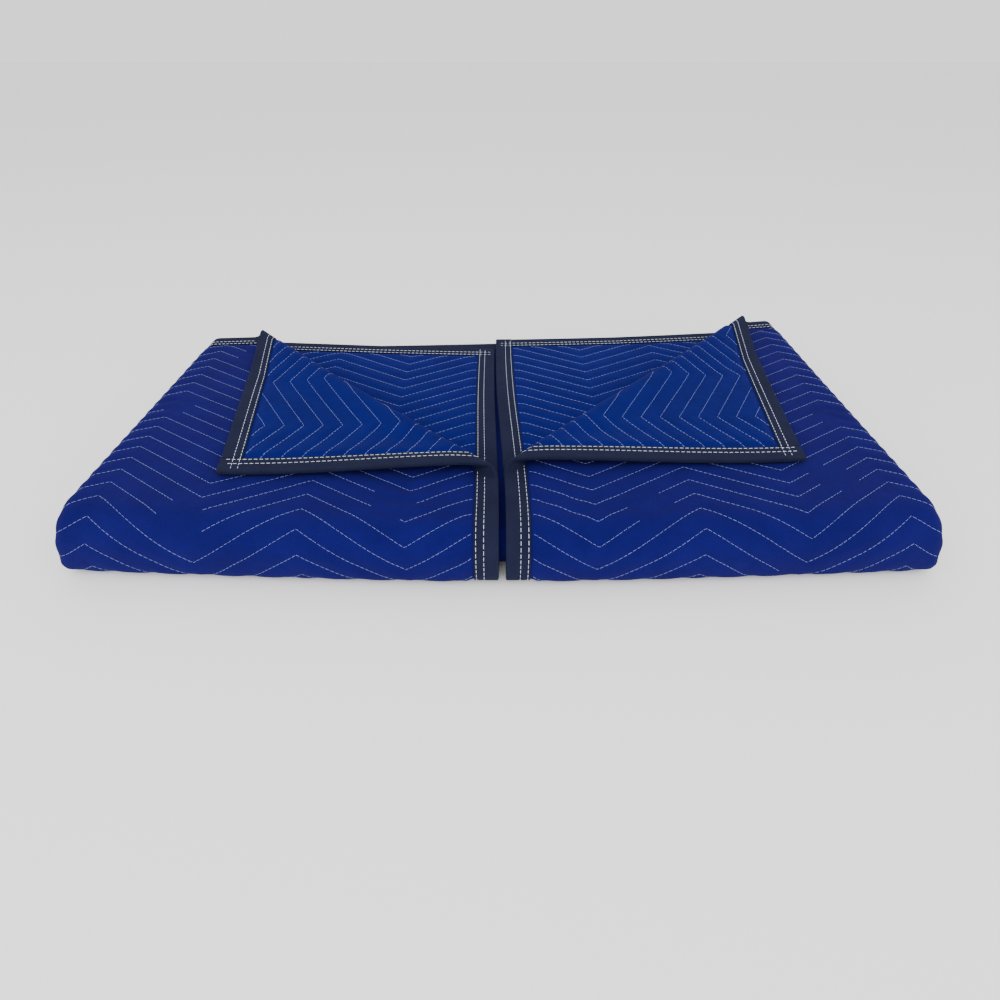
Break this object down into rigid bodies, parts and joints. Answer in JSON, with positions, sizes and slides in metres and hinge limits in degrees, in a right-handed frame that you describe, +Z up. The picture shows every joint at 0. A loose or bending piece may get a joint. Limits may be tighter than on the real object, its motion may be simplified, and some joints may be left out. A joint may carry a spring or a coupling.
{
  "type": "moving blanket",
  "caption": "Folded quilted moving blanket with bound edges and its top corners turned back; pads and covers goods in transit.",
  "frame": {"origin": "centre of the bounding box's underside, on the surface it lies on", "axes": "+X across, to the right seen from the front fold; +Y from the front fold to the open back edges; +Z up"},
  "size_m": [0.9516, 0.5236, 0.097],
  "materials": {
    "quilted_cloth": "matt woven cotton and polyester, zigzag quilted in off-white thread",
    "binding_tape": "matt woven tape, sewn with rows of off-white thread"
  },
  "bodies": {
    "root": {"quilted_panel": "quilted_cloth", "end_binding_outer": "binding_tape", "end_binding_inner": "binding_tape", "side_binding_left": "binding_tape", "side_binding_right": "binding_tape"}
  },
  "joints": []
}
